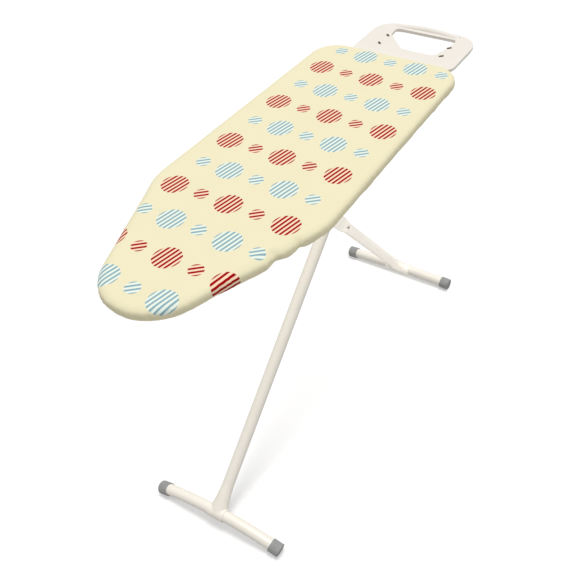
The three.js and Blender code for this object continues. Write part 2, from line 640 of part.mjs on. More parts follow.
function addIronRest() {
  const place = (name, shape, colour) => {
    add(name, solidOf(shape).translate([0, REST_CENTRE_Y, 0]), colour);
  };
  const plan = [
    [444, -REST_HALF_WIDTH, 26, 5], [REST_END_X - 7, -REST_HALF_WIDTH, REST_CORNER_RADIUS, 10],
    [REST_END_X, 0, 300, 4],
    [REST_END_X - 7, REST_HALF_WIDTH, REST_CORNER_RADIUS, 10], [444, REST_HALF_WIDTH, 26, 5],
  ];
  const opening = roundedCorners(REST_OPENING, 0).flat();
  const plate = extrude(roundedCorners(plan, 0).flat(), 'z', ...REST_Z, [opening]);
  const gripY = 96;
  const grip = sweep([
    [622, -gripY, 832.5], [626, -50, 835.5], [628, 0, 837], [626, 50, 835.5], [622, gripY, 832.5],
  ], 11, { sides: 14, steps: 12 });
  const armTop = REST_ARM_Z + REST_ARM_RADIUS + PLATE_GAP;
  const bosses = [-REST_ARM_Y, REST_ARM_Y].map(
    (y) => box([488, 556], [y - 8, y + 8], [armTop, REST_Z[0] + 1]),
  );
  const boardSide = outlineSolid([[-1.6, 900], [-1.6, 700]]).translate(0, -REST_CENTRE_Y, 0);
  const pockets = REST_PADS.map(([x, y]) => oblong(x, y, 0.35, [835.7, 850]));
  const screws = [-1, 1].flatMap((side) => REST_SCREW_XS.map((x) => [x, side * REST_ARM_Y]));
  const screwRod = ([x, y], radius, zs) => rod([x, y, zs[0]], [x, y, zs[1]], radius, 12);
  const screwZ = [REST_ARM_Z - REST_ARM_RADIUS - 2.4, REST_Z[1] - 3];
  const holes = screws.map((at) => screwRod(at, 2.6, [800, screwZ[1] + GAP]));
  place('iron_rest', cut(join(plate, grip, ...bosses), boardSide, ...pockets, ...holes), 'plastic');
  REST_PADS.forEach(([x, y], i) => place(`rest_pad_${i + 1}`, oblong(x, y, 0, [836, 839.6]), 'heatPad'));
  screws.forEach((at, i) => {
    const screw = join(screwRod(at, 2.2, screwZ), screwRod(at, 4.5, [screwZ[0] - 2, screwZ[0]]));
    place(`rest_screw_${i + 1}`, screw, 'steel');
  });
  for (const [name, side] of [['right', -1], ['left', 1]]) {
    const y = side * REST_ARM_Y;
    const [from, to] = [[256, y, REST_ARM_Z], [600, y, REST_ARM_Z]];
    const arm = pipe(from, to, REST_ARM_RADIUS, REST_ARM_RADIUS - 1.4, 14);
    place(`rest_arm_${name}`, cut(arm, ...holes), 'cream');
    const seat = box([259, 357], [y - 7, y + 7], [armTop, BRACE_BOTTOM_Z - PLATE_GAP]);
    place(`rest_arm_seat_${name}`, seat, 'cream');
  }
}

addBoard();
addHinge();
addRail();
addSlide();
addLever();
addLongLeg();
addShortLeg();
addIronRest();

export default part;
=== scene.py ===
"""The looks of a folding ironing board: printed cover, steel frame, crossed legs and iron rest.

Metres. The nose points along -X, the iron rest along +X, and the floor is at z = 0.
"""

import json
import math

import bmesh
import bpy
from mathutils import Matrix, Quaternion, Vector, noise

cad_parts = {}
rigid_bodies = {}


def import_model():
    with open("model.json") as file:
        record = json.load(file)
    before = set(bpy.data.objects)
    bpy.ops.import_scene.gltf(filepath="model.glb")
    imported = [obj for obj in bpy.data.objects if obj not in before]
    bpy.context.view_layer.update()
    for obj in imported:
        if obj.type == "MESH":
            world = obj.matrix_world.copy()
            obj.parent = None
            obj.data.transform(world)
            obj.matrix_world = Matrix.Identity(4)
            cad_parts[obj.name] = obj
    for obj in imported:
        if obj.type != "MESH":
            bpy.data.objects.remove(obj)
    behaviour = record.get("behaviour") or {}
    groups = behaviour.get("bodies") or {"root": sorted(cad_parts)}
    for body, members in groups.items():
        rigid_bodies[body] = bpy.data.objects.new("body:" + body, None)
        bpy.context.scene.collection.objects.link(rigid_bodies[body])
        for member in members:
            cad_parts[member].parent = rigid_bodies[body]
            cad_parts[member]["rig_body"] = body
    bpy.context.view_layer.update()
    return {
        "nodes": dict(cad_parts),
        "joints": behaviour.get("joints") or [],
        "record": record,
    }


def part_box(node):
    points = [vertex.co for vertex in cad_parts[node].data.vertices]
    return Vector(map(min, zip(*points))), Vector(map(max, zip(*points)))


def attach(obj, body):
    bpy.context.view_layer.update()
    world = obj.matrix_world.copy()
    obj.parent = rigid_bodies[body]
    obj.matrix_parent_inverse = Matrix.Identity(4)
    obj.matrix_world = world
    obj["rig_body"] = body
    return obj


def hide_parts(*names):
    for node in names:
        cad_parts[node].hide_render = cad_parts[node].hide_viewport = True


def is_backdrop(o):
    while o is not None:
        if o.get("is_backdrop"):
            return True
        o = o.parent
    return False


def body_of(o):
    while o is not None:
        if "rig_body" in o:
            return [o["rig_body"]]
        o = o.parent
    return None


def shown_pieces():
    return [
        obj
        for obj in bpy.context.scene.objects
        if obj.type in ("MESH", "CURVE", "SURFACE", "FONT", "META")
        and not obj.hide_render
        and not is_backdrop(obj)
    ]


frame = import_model()
scene = bpy.context.scene
nodes = frame["nodes"]
joints = {joint["name"]: Vector(joint["pos_m"]) for joint in frame["joints"]}
MM = 0.001
UP = Vector((0, 0, 1))
ALONG_X = Vector((1, 0, 0))
ALONG_Y = Vector((0, 1, 0))


# ---------------------------------------------------------------- camera and light
def add_camera():
    """The photograph's view: from above the nose, looking along the board, held a little crooked."""
    data = bpy.data.cameras.new("camera")
    data.lens = 47.77
    data.shift_x = -0.0764
    data.shift_y = 0.0354
    data.dof.use_dof = False
    camera = bpy.data.objects.new("camera", data)
    camera.location = (-1.2719, -0.9087, 1.8318)
    forward = Vector((0.58555, 0.39635, -0.70713))
    roll = Quaternion(UP, math.radians(-4.62))
    camera.rotation_mode = "QUATERNION"
    camera.rotation_quaternion = forward.to_track_quat("-Z", "Y") @ roll
    scene.collection.objects.link(camera)
    scene.camera = camera


def add_sun(name, toward, strength, spread):
    """A soft light from far away. spread is the light's apparent width in degrees."""
    data = bpy.data.lights.new(name, "SUN")
    data.energy = strength
    data.angle = math.radians(spread)
    light = bpy.data.objects.new(name, data)
    light.rotation_mode = "QUATERNION"
    light.rotation_quaternion = Vector(toward).to_track_quat("-Z", "Y")
    scene.collection.objects.link(light)
    return light


add_camera()
scene.view_settings.view_transform = "Standard"
world = bpy.data.worlds.new("studio")
world.use_nodes = True
world.node_tree.nodes["Background"].inputs["Color"].default_value = (1, 1, 1, 1)
world.node_tree.nodes["Background"].inputs["Strength"].default_value = 0.36
scene.world = world
overhead = add_sun("overhead", (-0.12, 0.06, -1), 2.2, 22)


# ---------------------------------------------------------------- node materials
class Graph:
    """A material's nodes, added call by call."""

    def __init__(self, name):
        self.material = bpy.data.materials.new(name)
        self.material.use_nodes = True
        self.tree = self.material.node_tree
        self.shader = self.tree.nodes["Principled BSDF"]

    def node(self, kind, **settings):
        made = self.tree.nodes.new(kind)
        for key, value in settings.items():
            setattr(made, key, value)
        return made

    def put(self, socket, value):
        """Link a socket's input, or set it to a plain value."""
        if isinstance(value, bpy.types.NodeSocket):
            self.tree.links.new(value, socket)
        else:
            socket.default_value = value

    def math(self, operation, *values):
        made = self.node("ShaderNodeMath", operation=operation)
        for socket, value in zip(made.inputs, values):
            self.put(socket, value)
        return made.outputs[0]

    def mix(self, share, first, second):
        made = self.node("ShaderNodeMix", data_type="RGBA")
        self.put(made.inputs[0], share)
        self.put(made.inputs[6], first)
        self.put(made.inputs[7], second)
        return made.outputs[2]

    def place(self):
        """Where a point lies on its own object."""
        return self.node("ShaderNodeTexCoord").outputs["Object"]

    def noise(self, scale, detail=3.0, place=None):
        made = self.node("ShaderNodeTexNoise")
        self.put(made.inputs["Vector"], place or self.place())
        made.inputs["Scale"].default_value = scale
        made.inputs["Detail"].default_value = detail
        return made.outputs["Fac"]

    def bump(self, height, distance, strength=1.0):
        made = self.node("ShaderNodeBump")
        made.inputs["Strength"].default_value = strength
        made.inputs["Distance"].default_value = distance
        self.put(made.inputs["Height"], height)
        self.put(self.shader.inputs["Normal"], made.outputs["Normal"])
        return made

    def set(self, **values):
        for key, value in values.items():
            self.put(self.shader.inputs[key.replace("_", " ").title()], value)


def colour(red, green, blue):
    """A screen colour, 0 to 255, as the linear colour that the shader takes."""
    def linear(value):
        share = value / 255
        return share / 12.92 if share <= 0.04045 else ((share + 0.055) / 1.055) ** 2.4
    return (linear(red), linear(green), linear(blue), 1.0)


def speckled(name, low, high, scale, roughness, grain, depth, metallic=0.0, under=None):
    """A finish that drifts between two tones, with a fine grain of the given size and depth.

    under(graph) may give the surface normal that the grain lies on.
    """
    graph = Graph(name)
    tone = graph.noise(scale)
    graph.put(graph.shader.inputs["Base Color"], graph.mix(tone, colour(*low), colour(*high)))
    wear = graph.noise(scale * 5)
    spread = graph.math("MULTIPLY_ADD", wear, 0.16, roughness - 0.08)
    graph.set(roughness=spread, metallic=metallic)
    fine = graph.bump(graph.noise(1 / grain, 2.0), depth)
    if under:
        graph.put(fine.inputs["Normal"], under(graph))
    return graph.material


def ribs(graph):
    """Fine ribs that run along the foot bar."""
    spacing, height = 3.1 * MM, 0.6 * MM
    split = graph.node("ShaderNodeSeparateXYZ")
    graph.put(split.inputs[0], graph.place())
    wave = graph.math("SINE", graph.math("MULTIPLY", split.outputs["X"], 2 * math.pi / spacing))
    made = graph.node("ShaderNodeBump")
    made.inputs["Distance"].default_value = height
    graph.put(made.inputs["Height"], graph.math("MULTIPLY", wave, 0.5))
    return made.outputs["Normal"]


def printed_cotton():
    """Pale yellow cotton with a band of striped dots, large and small, in rows of red and of blue.

    Columns run along the board and rows across it, and the whole print is turned a little on the cloth.
    """
    column_pitch = 75 * MM
    row_pitch = 1.31 * column_pitch
    turn = 0.032
    middle_row, middle_column = 5.348, 1.747
    last_row, last_column = 10, 4
    large_radius, small_radius = 32 * MM, 17.5 * MM
    ink_wander, ink_blur, stripe_blur = 0.6 * MM, 0.7 * MM, 0.06
    thread_pitch = 0.9 * MM
    graph = Graph("printed_cotton")
    flat = graph.node("ShaderNodeUVMap", uv_map="flat_cut").outputs["UV"]
    split = graph.node("ShaderNodeSeparateXYZ")
    graph.put(split.inputs[0], flat)
    across = graph.math("MULTIPLY", split.outputs["Y"], -1 / column_pitch)
    towards_tail = graph.math("DIVIDE", graph.math("ADD", split.outputs["X"], 4 * MM), column_pitch)
    along = graph.math("SUBTRACT", middle_row, towards_tail)

    def turned(first, second, sign):
        return graph.math("MULTIPLY_ADD", second, sign * math.sin(turn),
                          graph.math("MULTIPLY", first, math.cos(turn)))

    column = graph.math("ADD", turned(across, along, 1), middle_column)
    row = graph.math("DIVIDE", turned(along, across, -1), row_pitch / column_pitch)
    nearest_column = graph.math("ROUND", column)
    nearest_row = graph.math("ROUND", row)
    from_column = graph.math("MULTIPLY", graph.math("SUBTRACT", column, nearest_column), column_pitch)
    from_row = graph.math("MULTIPLY", graph.math("SUBTRACT", row, nearest_row), row_pitch)

    def within(value, last):
        """1 from 0 to last, and 0 beyond."""
        off_middle = graph.math("ABSOLUTE", graph.math("SUBTRACT", value, last / 2))
        return graph.math("LESS_THAN", off_middle, last / 2 + 0.5)

    printed = graph.math("MULTIPLY", within(nearest_column, last_column), within(nearest_row, last_row))
    large = graph.math("FLOORED_MODULO", graph.math("ADD", nearest_column, nearest_row), 2.0)
    red = graph.math("FLOORED_MODULO", nearest_row, 2.0)
    reach = graph.math("SQRT", graph.math("ADD", graph.math("MULTIPLY", from_column, from_column),
                                          graph.math("MULTIPLY", from_row, from_row)))
    ink_edge = graph.math("MULTIPLY_ADD", graph.noise(900, 2.0, flat), ink_wander, -ink_wander / 2)

    def dot(radius):
        inside = graph.math("SUBTRACT", graph.math("ADD", ink_edge, radius), reach)
        share = graph.math("DIVIDE", inside, ink_blur)
        share.node.use_clamp = True
        return share

    half_stripe = graph.math("MULTIPLY_ADD", red, 0.030, 0.258)

    def stripes(angle, spacing, shift):
        """Stripes half_stripe wide to each side, as a share of their spacing."""
        side = graph.math("ADD", graph.math("MULTIPLY", from_column, math.cos(angle - turn)),
                          graph.math("MULTIPLY", from_row, math.sin(angle - turn)))
        step = graph.math("ADD", graph.math("DIVIDE", side, spacing), shift)
        off = graph.math("ABSOLUTE", graph.math("SUBTRACT", step, graph.math("ROUND", step)))
        share = graph.math("DIVIDE", graph.math("SUBTRACT", half_stripe, off), stripe_blur)
        share.node.use_clamp = True
        return share

    def pick(choice, one, zero):
        return graph.math("MULTIPLY_ADD", graph.math("SUBTRACT", one, zero), choice, zero)

    inside = graph.math("MULTIPLY", printed, pick(large, dot(large_radius), dot(small_radius)))
    striped = pick(large, stripes(math.radians(11.8), 10.3 * MM, 0.0),
                   stripes(math.radians(50.5), 11 * MM, 0.5))
    faded = graph.noise(9, 4.0, flat)
    cloth = graph.mix(faded, colour(240, 232, 195), colour(245, 237, 202))
    tint = graph.mix(red, colour(238, 247, 234), colour(255, 226, 196))
    ink = graph.mix(red, colour(142, 177, 187), colour(168, 6, 8))
    inked = graph.math("MULTIPLY", inside, striped)
    graph.put(graph.shader.inputs["Base Color"], graph.mix(inked, graph.mix(inside, cloth, tint), ink))
    graph.set(roughness=0.95)
    graph.put(graph.shader.inputs["Specular IOR Level"], 0.08)
    thread = 2 * math.pi / thread_pitch
    warp = graph.math("SINE", graph.math("MULTIPLY", split.outputs["X"], thread))
    weft = graph.math("SINE", graph.math("MULTIPLY", split.outputs["Y"], thread))
    weave = graph.math("MULTIPLY_ADD", graph.noise(60, 3.0, flat), 6.0, graph.math("MULTIPLY", warp, weft))
    graph.bump(weave, 0.00008, 0.6)
    return graph.material


FINISHES = {
    "cover_cloth": printed_cotton(),
    "felt": speckled("needle_felt", (206, 200, 184), (224, 219, 205), 160, 0.95, 0.0012, 0.0004),
    "cream_paint": speckled("cream_powder_coat", (246, 239, 227), (250, 245, 235), 12, 0.36, 0.0016,
                            0.000025),
    "rest_plastic": speckled("rest_moulding", (241, 235, 225), (246, 240, 231), 14, 0.44, 0.0006, 0.00002),
    "heat_pad": speckled("silicone_pad", (96, 86, 60), (112, 102, 74), 90, 0.75, 0.0005, 0.00004),
    "foot_rubber": speckled("foot_rubber", (150, 151, 149), (168, 169, 167), 70, 0.7, 0.0007, 0.00006,
                            under=ribs),
    "grey_plastic": speckled("grey_nylon", (136, 140, 146), (150, 154, 158), 60, 0.5, 0.0006, 0.00003),
    "zinc_steel": speckled("zinc_plate", (178, 180, 184), (200, 202, 205), 140, 0.32, 0.0004, 0.00001, 0.9),
}


# ---------------------------------------------------------------- building helpers
def edit(mesh, change):
    """Run change(work) on the mesh."""
    work = bmesh.new()
    work.from_mesh(mesh)
    change(work)
    work.to_mesh(mesh)
    work.free()


def face_outward(work):
    bmesh.ops.recalc_face_normals(work, faces=work.faces)


def piece(name, points, faces, body, slot, replaced=()):
    """A smooth-shaded mesh that rides on a body and stands for the given CAD nodes."""
    mesh = bpy.data.meshes.new(name)
    mesh.from_pydata([tuple(point) for point in points], [], faces)
    edit(mesh, face_outward)
    mesh.shade_smooth()
    mesh.set_sharp_from_angle(angle=math.radians(38))
    made = bpy.data.objects.new(name, mesh)
    scene.collection.objects.link(made)
    mesh.materials.append(FINISHES[slot])
    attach(made, body)
    if replaced:
        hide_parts(*replaced)
    return made


def modify(target, kind, **settings):
    modifier = target.modifiers.new(kind.lower(), kind)
    for key, value in settings.items():
        setattr(modifier, key, value)
    return modifier


def ring_faces(rings, size, closed_path=False, capped=False):
    """Quads between neighbouring rings of points, with the two ends closed if asked."""
    faces = []
    for ring in range(rings if closed_path else rings - 1):
        low, high = ring * size, (ring + 1) % rings * size
        for i in range(size):
            after = (i + 1) % size
            faces.append((low + i, low + after, high + after, high + i))
    if capped:
        faces.append(tuple(range(size)))
        faces.append(tuple(range((rings - 1) * size, rings * size)))
    return faces


def swept(name, path, section, up, body, slot, replaced=(), closed=False):
    """A tube along a path. section(k) gives the outline at point k, as (up, sideways) pairs."""
    points = []
    size = len(section(0))
    for k, centre in enumerate(path):
        before = path[k - 1] if k or closed else path[k]
        after = path[(k + 1) % len(path)] if k + 1 < len(path) or closed else path[k]
        side = (after - before).normalized().cross(up).normalized()
        rise = side.cross(after - before).normalized()
        points += [centre + rise * high + side * wide for high, wide in section(k)]
    faces = ring_faces(len(path), size, closed, not closed)
    return piece(name, points, faces, body, slot, replaced)


def oval(centre, first, second, sides):
    """Points round an oval whose two half axes are the given vectors."""
    angles = [2 * math.pi * i / sides for i in range(sides)]
    return [centre + first * math.cos(a) + second * math.sin(a) for a in angles]


def flat_cut(target, places):
    """Lay the target's print out flat: places gives each vertex its (x, y) on the uncut cloth."""
    layer = target.data.uv_layers.new(name="flat_cut")
    for loop in target.data.loops:
        layer.data[loop.index].uv = places[loop.vertex_index].xy


def rounded_section(half_height, half_width, power=1.0, sides=48):
    """An oval at power 1, and a rounded rectangle as power falls."""
    def bent(value):
        return math.copysign(abs(value) ** power, value)
    angles = [2 * math.pi * i / sides for i in range(sides)]
    return [(half_height * bent(math.cos(a)), half_width * bent(math.sin(a))) for a in angles]


def round_bar(name, path, radius, up, body, slot, replaced=(), closed=False, sides=32):
    ring = rounded_section(radius, radius, 1.0, sides)
    return swept(name, path, lambda k: ring, up, body, slot, replaced, closed)


def middle(name):
    low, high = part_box(name)
    return (low + high) / 2


def span(name, start, axis):
    """How far a CAD node reaches along an axis from a point, as (least, most)."""
    reach = [(vertex.co - start).dot(axis) for vertex in nodes[name].data.vertices]
    return min(reach), max(reach)


# ---------------------------------------------------------------- the board's outline
cover_low, cover_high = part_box("cover")
NOSE_X, TAIL_X = cover_low.x, cover_high.x
SHOULDER_X = -0.275
SHOULDER_HALF_WIDTH = cover_high.y
TAIL_HALF_WIDTH = 0.210
TAPER = math.radians(20.2)
NOSE_HALF_WIDTH = SHOULDER_HALF_WIDTH - (SHOULDER_X - NOSE_X) * math.tan(TAPER)
NEAR_TUCK = 7.5 * MM
OUTLINE_CORNERS = [
    (TAIL_X, -TAIL_HALF_WIDTH, 0.076), (TAIL_X, TAIL_HALF_WIDTH, 0.076),
    (SHOULDER_X, SHOULDER_HALF_WIDTH, 0.180), (NOSE_X, NOSE_HALF_WIDTH, 0.122),
    (NOSE_X, -NOSE_HALF_WIDTH, 0.122), (SHOULDER_X, -SHOULDER_HALF_WIDTH, 0.180),
]


def smooth_step(value):
    """0 up to 0, 1 from 1, and an even swing between."""
    share = min(1.0, max(0.0, value))
    return share * share * (3 - 2 * share)


def drawn_in(point):
    """The near edge of the taper lies NEAR_TUCK inside the plan."""
    share = smooth_step((0.02 - point.y) / 0.09) * (1 - smooth_step((point.x + 0.315) / 0.09))
    return point + ALONG_Y * (NEAR_TUCK * share)


def board_outline(step):
    """Points round the board, each with its outward direction and its distance round."""
    found = []
    count = len(OUTLINE_CORNERS)
    for k, (x, y, radius) in enumerate(OUTLINE_CORNERS):
        corner = Vector((x, y, 0))
        before = (Vector((*OUTLINE_CORNERS[k - 1][:2], 0)) - corner).normalized()
        after = (Vector((*OUTLINE_CORNERS[(k + 1) % count][:2], 0)) - corner).normalized()
        half = math.acos(before.dot(after)) / 2
        centre = corner + (before + after).normalized() * (radius / math.sin(half))
        start = math.atan2(before.x, -before.y)
        turn = math.pi - 2 * half
        parts = max(2, round(turn * radius / step))
        for i in range(parts + 1):
            angle = start + turn * i / parts
            normal = Vector((math.cos(angle), math.sin(angle), 0))
            found.append((centre + normal * radius, normal))
    filled = []
    for k, (point, normal) in enumerate(found):
        after, after_normal = found[(k + 1) % len(found)]
        parts = max(1, round((after - point).length / step))
        for i in range(parts):
            share = i / parts
            filled.append((drawn_in(point.lerp(after, share)),
                           normal.lerp(after_normal, share).normalized()))
    travelled = 0.0
    result = []
    for k, (point, normal) in enumerate(filled):
        result.append((point, normal, travelled))
        travelled += (filled[(k + 1) % len(filled)][0] - point).length
    return result


def inside_board(x, y, inset):
    """Whether (x, y) lies at least inset inside the plan, before its near edge is drawn in."""
    edge = SHOULDER_HALF_WIDTH
    if x < SHOULDER_X:
        edge -= (SHOULDER_X - x) * math.tan(TAPER)
    else:
        edge -= (x - SHOULDER_X) / (TAIL_X - SHOULDER_X) * (SHOULDER_HALF_WIDTH - TAIL_HALF_WIDTH)
    if not NOSE_X + inset < x < TAIL_X - inset or abs(y) > edge - inset:
        return False
    for corner_x, corner_y, radius in (OUTLINE_CORNERS[1], OUTLINE_CORNERS[3]):
        toward = 1 if corner_x > 0 else -1
        centre = Vector((corner_x - toward * radius, max(0, corner_y - radius)))
        off = Vector(((x - centre.x) * toward, abs(y) - centre.y))
        if off.x > 0 and off.y > 0 and off.length > radius - inset:
            return False
    return True


# ---------------------------------------------------------------- cover, felt, deck and rim
TOP_Z = cover_high.z
HEM_Z = cover_low.z + 5.0 * MM
EDGE_WIDTH = 22 * MM
EDGE_RISE = 15.2 * MM
HEM_ROUND = 4 * MM
HEM_WIDTH = 31 * MM
PLEAT_PITCH = 17 * MM
FIRST_FOLD_X, BETWEEN_FOLDS_X, SECOND_FOLD_X = -0.380, -0.353, -0.324
OUTLINE = board_outline(5.5 * MM)
BRACE_XS = [middle(name).x for name in ("brace_rear", "brace_hinge", "brace_rail", "brace_front")]
SETTLE_FRAMES = 24
MOST_DRIFT = 2.6 * MM


def cover_profile():
    """(inset, height) from the hem's inner edge, round the side, to the flat top."""
    low = HEM_Z + 0.2 * MM
    profile = [(HEM_WIDTH - step * MM, low) for step in (0, 4, 8, 12, 16, 20, 23.5)]
    for k in range(5):
        angle = math.pi / 2 * k / 4
        profile.append((HEM_ROUND * (1 - math.sin(angle)), low + HEM_ROUND * (1 - math.cos(angle))))
    side_top = TOP_Z - EDGE_RISE
    side_low = low + HEM_ROUND
    profile += [(0.0, side_low + (side_top - side_low) * share) for share in (0.33, 0.66, 1.0)]
    for k in range(1, 8):
        angle = math.pi / 2 * k / 7
        profile.append((EDGE_WIDTH * (1 - math.cos(angle)), side_top + EDGE_RISE * math.sin(angle)))
    return profile


def dent(point, at_x, width):
    """How close a point of the near edge lies to at_x: 1 at it, falling to 0 beyond the width."""
    return math.exp(-((point.x - at_x) / width) ** 2) if point.y < 0 else 0.0


def cloth_place(point, normal, travelled, inset, height, depth):
    """A point of the cover with its gathers. depth is 0 on the top and 1 at the hem's inner edge.

    The hem is pleated, and passes under the braces. On the near edge the cloth hangs loose before the
    first fold and between the two, and is drawn in at each fold.
    """
    drift = noise.noise(Vector((travelled * 24, 3.1, 0))) * 2.6
    pleat = math.sin(2 * math.pi * travelled / PLEAT_PITCH + drift * 2)
    swell = noise.noise(Vector((travelled * 11, 9.7, 0)))
    under = smooth_step((depth - 0.35) / 0.5)
    side = smooth_step(depth / 0.3) * (1 - under)
    shoulder = smooth_step((depth - 0.02) / 0.12) * (1 - under)
    pulled = smooth_step(depth / 0.28)
    hanging = smooth_step((point.x + 0.53) / 0.12) * (1 - smooth_step((point.x + 0.406) / 0.022))
    loose = 4.0 * (hanging if point.y < 0 else 0.0) + 2.6 * dent(point, BETWEEN_FOLDS_X, 14 * MM)
    tight = 4.8 * dent(point, FIRST_FOLD_X, 8 * MM) + 5.0 * dent(point, SECOND_FOLD_X, 7 * MM)
    sunk = (3.2 * dent(point, FIRST_FOLD_X - 2 * MM, 9 * MM)
            + 1.28 * dent(point, SECOND_FOLD_X - 2 * MM, 9 * MM))
    at_brace = sum(math.exp(-((point.x - x) / (14 * MM)) ** 4) for x in BRACE_XS)
    inset += MM * (side * (0.5 * pleat + 1.1 * swell - 0.2) + pulled * (tight - loose))
    height -= MM * (under * (1.2 + 1.0 * pleat + 3.2 * at_brace) + sunk * shoulder + pulled * 0.6 * loose)
    place = point - normal * inset
    place.z = height
    return place


def add_cover():
    """The cover as rings: up from the hem, round the side, and in over the top to the board's spine."""
    profile = cover_profile()
    lengths = [0.0]
    for (inset, height), (before, low) in zip(profile[1:], profile):
        lengths.append(lengths[-1] + math.hypot(inset - before, height - low))
    whole = lengths[-1]
    points, flat = [], []
    for (inset, height), length in zip(profile, lengths):
        for point, normal, travelled in OUTLINE:
            depth = (whole - length) / whole
            points.append(cloth_place(point, normal, travelled, inset, height, depth))
            flat.append(point - normal * EDGE_WIDTH + normal * (whole - length))
    spine = (NOSE_X + 0.15, TAIL_X - 0.19)
    top_rings = 16
    for k in range(1, top_rings + 1):
        share = (k / top_rings) ** 1.15
        for point, normal, travelled in OUTLINE:
            edge = point - normal * EDGE_WIDTH
            core = Vector((min(max(edge.x * 0.8, spine[0]), spine[1]), 0, 0))
            place = edge.lerp(core, share)
            ripple = noise.noise(place * 7) * 0.5 + noise.noise(place * 19 + Vector((5, 0, 0))) * 0.25
            place.z = TOP_Z + ripple * MM * smooth_step(share * 5) - 0.35 * MM * smooth_step(share * 5)
            points.append(place)
            flat.append(place)
    size = len(OUTLINE)
    faces = ring_faces(len(points) // size, size)
    cover = piece("cover_cloth", points, faces, "board", "cover_cloth", ["cover"])
    flat_cut(cover, flat)

    def close_spine(work):
        bmesh.ops.remove_doubles(work, verts=work.verts, dist=0.4 * MM)
        face_outward(work)

    edit(cover.data, close_spine)
    cover.data.shade_smooth()
    return cover


def add_hem():
    """The narrow casing sewn round the hem's inner edge."""
    path = [cloth_place(point, normal, travelled, HEM_WIDTH, HEM_Z + 0.4 * MM, 1.0)
            for point, normal, travelled in OUTLINE]
    hem = round_bar("cover_hem", path, 2.2 * MM, UP, "board", "cover_cloth", closed=True, sides=12)
    flat_cut(hem, [vertex.co for vertex in hem.data.vertices])
    return hem


def slab(name, insets_and_heights, body, slot, replaced):
    """A closed flat solid on the board's outline, from rings of (inset, height)."""
    points = []
    for inset, height in insets_and_heights:
        for point, normal, _ in OUTLINE:
            place = point - normal * inset
            place.z = height
            points.append(place)
    faces = ring_faces(len(insets_and_heights), len(OUTLINE), False, True)
    return piece(name, points, faces, body, slot, replaced)


def add_felt():
    low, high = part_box("felt_pad")
    inset = low.x - NOSE_X + 10.5 * MM
    soft, crown = 1.5 * MM, 0.6 * MM
    rings = [(inset + soft, low.z), (inset, low.z + soft), (inset, high.z - 2 * soft),
             (inset + soft, high.z - soft), (inset + 4 * soft, high.z - crown)]
    return slab("felt_pad_soft", rings, "board", "felt", ["felt_pad"])


def add_deck():
    """Expanded steel mesh: diamonds in rows, whose opening is a share of each diamond's size."""
    low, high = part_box("deck_plate")
    half_long, half_wide, opening = 15 * MM, 7 * MM, 0.72
    points, faces = [], []
    for i in range(int(low.x / half_long) - 1, int(high.x / half_long) + 2):
        for j in range(int(low.y / half_wide) - 1, int(high.y / half_wide) + 2):
            x, y = i * half_long, j * half_wide
            outward = y - drawn_in(Vector((x, y, 0))).y
            if (i + j) % 2 or not inside_board(x, y + outward, 19 * MM):
                continue
            first = len(points)
            for scale in (1.0, opening):
                points += [(x + half_long * scale, y, high.z), (x, y + half_wide * scale, high.z),
                           (x - half_long * scale, y, high.z), (x, y - half_wide * scale, high.z)]
            for k in range(4):
                after = (k + 1) % 4
                faces.append((first + k, first + after, first + 4 + after, first + 4 + k))
    deck = piece("deck_mesh", points, faces, "board", "cream_paint", ["deck_plate"])

    def join_strands(work):
        bmesh.ops.remove_doubles(work, verts=work.verts, dist=0.2 * MM)
        for face in work.faces:
            if face.normal.z < 0:
                face.normal_flip()

    edit(deck.data, join_strands)
    modify(deck, "SOLIDIFY", thickness=high.z - low.z, offset=-1)


def add_rim():
    """The bent tube round the deck, drawn as one."""
    radius = 5 * MM
    low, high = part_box("rim_nose")
    path = []
    for point, normal, _ in OUTLINE:
        place = point - normal * (low.x - NOSE_X + 7 * MM)
        place.z = high.z - radius
        path.append(place)
    return round_bar("rim_tube", path, radius, UP, "board", "cream_paint",
                     ["rim_tail", "rim_left", "rim_nose", "rim_right"], closed=True, sides=24)


def settle_cover(cover, supports):
    """Simulate the slack cloth round the edge, with the flat top and the drawn hem held.

    No point ends up further than MOST_DRIFT from its place, so the cover stays off its neighbours.
    """
    size = len(OUTLINE)
    sewn = len(cover_profile())
    first_free, last_free = 2, sewn - 4
    held = cover.vertex_groups.new(name="held")
    slack = cover.vertex_groups.new(name="slack")
    for vertex in cover.data.vertices:
        ring = vertex.index // size
        loose = smooth_step((ring - first_free + 1) / 4) * smooth_step((last_free + 1 - ring) / 5)
        held.add([vertex.index], 1 - loose, "REPLACE")
        slack.add([vertex.index], loose, "REPLACE")
    for support in supports:
        modify(support, "COLLISION")
        support.collision.thickness_outer = 0.6 * MM
    cloth = modify(cover, "CLOTH")
    settings = cloth.settings
    settings.quality = 6
    settings.mass = 0.25
    settings.tension_stiffness = 12
    settings.compression_stiffness = 6
    settings.shear_stiffness = 4
    settings.bending_stiffness = 0.08
    settings.air_damping = 3
    settings.vertex_group_mass = held.name
    settings.vertex_group_shrink = slack.name
    settings.shrink_min = 0.0
    settings.shrink_max = -0.06
    settings.effector_weights.gravity = 0.4
    cloth.collision_settings.distance_min = 0.8 * MM
    cloth.collision_settings.collision_quality = 2
    cloth.point_cache.frame_end = SETTLE_FRAMES
    for step in range(1, SETTLE_FRAMES + 1):
        scene.frame_set(step)
    settled = cover.evaluated_get(bpy.context.evaluated_depsgraph_get()).data
    places = []
    for before, after in zip(cover.data.vertices, settled.vertices):
        drift = after.co - before.co
        if drift.length > MOST_DRIFT:
            drift *= MOST_DRIFT / drift.length
        places.append(before.co + drift)
    cover.modifiers.remove(cloth)
    for vertex, place in zip(cover.data.vertices, places):
        vertex.co = place
    cover.data.update()
    for support in supports:
        support.modifiers.clear()
    scene.frame_set(1)


